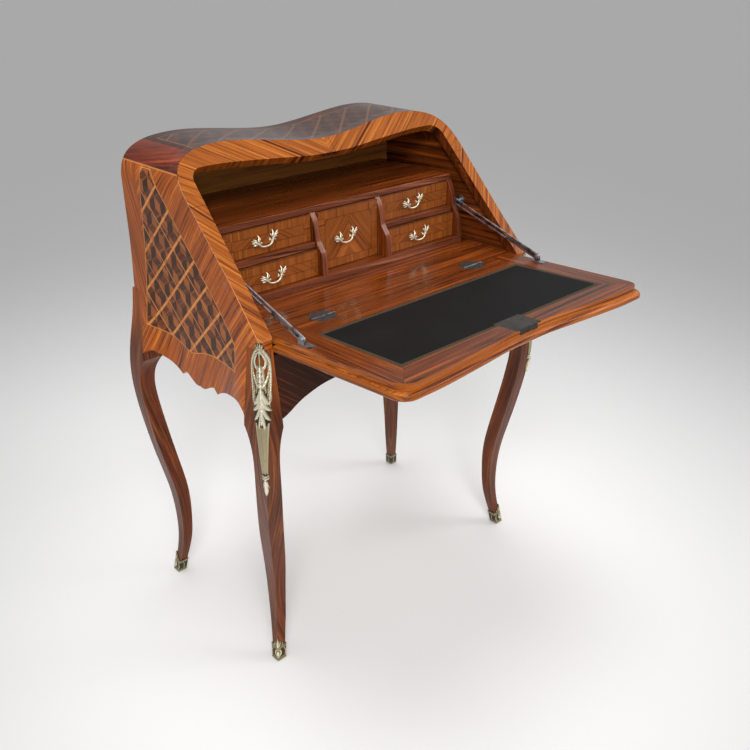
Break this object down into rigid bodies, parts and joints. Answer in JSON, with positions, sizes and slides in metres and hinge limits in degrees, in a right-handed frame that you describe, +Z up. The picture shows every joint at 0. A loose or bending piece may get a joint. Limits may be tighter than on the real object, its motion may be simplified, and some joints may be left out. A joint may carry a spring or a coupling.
{
  "type": "fall-front writing desk",
  "caption": "Small writing desk on cabriole legs: sloping fall that opens to a leather writing surface on stays, fitted drawers inside, frieze drawer below.",
  "frame": {"origin": "on the floor, under the middle of the desk's overall box with the fall open", "axes": "+X to the desk's right as the sitter faces it, +Y to the back, +Z up"},
  "size_m": [0.7472, 0.754, 0.9778],
  "materials": {
    "carcass_veneer": "kingwood and tulipwood veneer, french polished",
    "stile_veneer": "crossbanded tulipwood, french polished",
    "leg_wood": "dark polished veneer on the knees and legs",
    "interior_wood": "polished interior wood",
    "drawer_veneer": "diagonal tulipwood with crossbanding, polished",
    "drawer_linings": "plain oak, waxed",
    "back_wood": "plain board, stained",
    "gilt_mounts": "cast and gilt, aged",
    "hinge_steel": "steel, worn",
    "lock_steel": "dark steel",
    "stay_steel": "worn steel",
    "writing_leather": "black leather with a tooled border"
  },
  "bodies": {
    "carcass": {"front_left_leg": "leg_wood", "front_right_leg": "leg_wood", "back_left_leg": "leg_wood", "back_right_leg": "leg_wood", "front_left_sabot": "gilt_mounts", "front_right_sabot": "gilt_mounts", "back_left_sabot": "gilt_mounts", "back_right_sabot": "gilt_mounts", "left_corner_mount": "gilt_mounts", "right_corner_mount": "gilt_mounts", "left_stile": "stile_veneer", "right_stile": "stile_veneer", "top_rail": "stile_veneer", "strike_plate": "lock_steel", "top_board": "carcass_veneer", "left_side": "carcass_veneer", "right_side": "carcass_veneer", "back_panel": "back_wood", "back_apron": "back_wood", "writing_bed": "interior_wood", "bed_hinge_leaves": "hinge_steel", "bed_hinge_screws": "hinge_steel", "front_rail": "interior_wood", "drawer_runners": "back_wood", "case_base": "interior_wood", "case_lid": "interior_wood", "outer_partitions": "interior_wood", "inner_partitions": "interior_wood", "case_shelves": "interior_wood", "stay_studs": "stay_steel"},
    "fall": {"fall_panel": "carcass_veneer", "writing_leather": "writing_leather", "lip_moulding": "carcass_veneer", "fall_lock": "lock_steel", "fall_escutcheon": "gilt_mounts", "fall_hinge_leaves": "hinge_steel", "hinge_pins": "hinge_steel", "fall_hinge_screws": "hinge_steel", "stay_brackets": "stay_steel"},
    "lock_bolt": {"lock_bolt": "lock_steel"},
    "left_stay": {"left_stay": "stay_steel"},
    "right_stay": {"right_stay": "stay_steel"},
    "upper_left_drawer": {"upper_left_drawer_front": "drawer_veneer", "upper_left_drawer_box": "drawer_linings", "upper_left_drawer_pull": "gilt_mounts"},
    "upper_right_drawer": {"upper_right_drawer_front": "drawer_veneer", "upper_right_drawer_box": "drawer_linings", "upper_right_drawer_pull": "gilt_mounts"},
    "lower_left_drawer": {"lower_left_drawer_front": "drawer_veneer", "lower_left_drawer_box": "drawer_linings", "lower_left_drawer_pull": "gilt_mounts"},
    "lower_right_drawer": {"lower_right_drawer_front": "drawer_veneer", "lower_right_drawer_box": "drawer_linings", "lower_right_drawer_pull": "gilt_mounts"},
    "middle_drawer": {"middle_drawer_front": "drawer_veneer", "middle_drawer_box": "drawer_linings", "middle_drawer_pull": "gilt_mounts"},
    "frieze_drawer": {"frieze_drawer_front": "carcass_veneer", "frieze_drawer_box": "drawer_linings", "frieze_escutcheon": "gilt_mounts"}
  },
  "joints": [
    {"name": "fall_hinge", "type": "hinge", "parent": "carcass", "child": "fall", "pos_m": [0, -0.04926, 0.7065], "axis": [1, 0, 0], "range_deg": [-131, 0]},
    {"name": "left_stay_pivot", "type": "hinge", "parent": "fall", "child": "left_stay", "pos_m": [-0.3045, -0.12868, 0.71967], "axis": [1, 0, 0], "range_deg": [0, 135.03]},
    {"name": "right_stay_pivot", "type": "hinge", "parent": "fall", "child": "right_stay", "pos_m": [0.3045, -0.12868, 0.71967], "axis": [1, 0, 0], "range_deg": [0, 135.03]},
    {"name": "bolt_slide", "type": "slide", "parent": "fall", "child": "lock_bolt", "axis": [0, -0.9986, 0.0523], "range_m": [0, 0.008]},
    {"name": "upper_left_drawer_slide", "type": "slide", "parent": "carcass", "child": "upper_left_drawer", "axis": [0, -1, 0], "range_m": [0, 0.17]},
    {"name": "upper_right_drawer_slide", "type": "slide", "parent": "carcass", "child": "upper_right_drawer", "axis": [0, -1, 0], "range_m": [0, 0.17]},
    {"name": "lower_left_drawer_slide", "type": "slide", "parent": "carcass", "child": "lower_left_drawer", "axis": [0, -1, 0], "range_m": [0, 0.17]},
    {"name": "lower_right_drawer_slide", "type": "slide", "parent": "carcass", "child": "lower_right_drawer", "axis": [0, -1, 0], "range_m": [0, 0.17]},
    {"name": "middle_drawer_slide", "type": "slide", "parent": "carcass", "child": "middle_drawer", "axis": [0, -1, 0], "range_m": [0, 0.17]},
    {"name": "frieze_drawer_slide", "type": "slide", "parent": "carcass", "child": "frieze_drawer", "axis": [0, -1, 0], "range_m": [0, 0.25]}
  ],
  "couplings": [
    {"joint": "left_stay_pivot", "follows": "fall_hinge", "ratio": -1.0304},
    {"joint": "right_stay_pivot", "follows": "fall_hinge", "ratio": -1.0304}
  ]
}
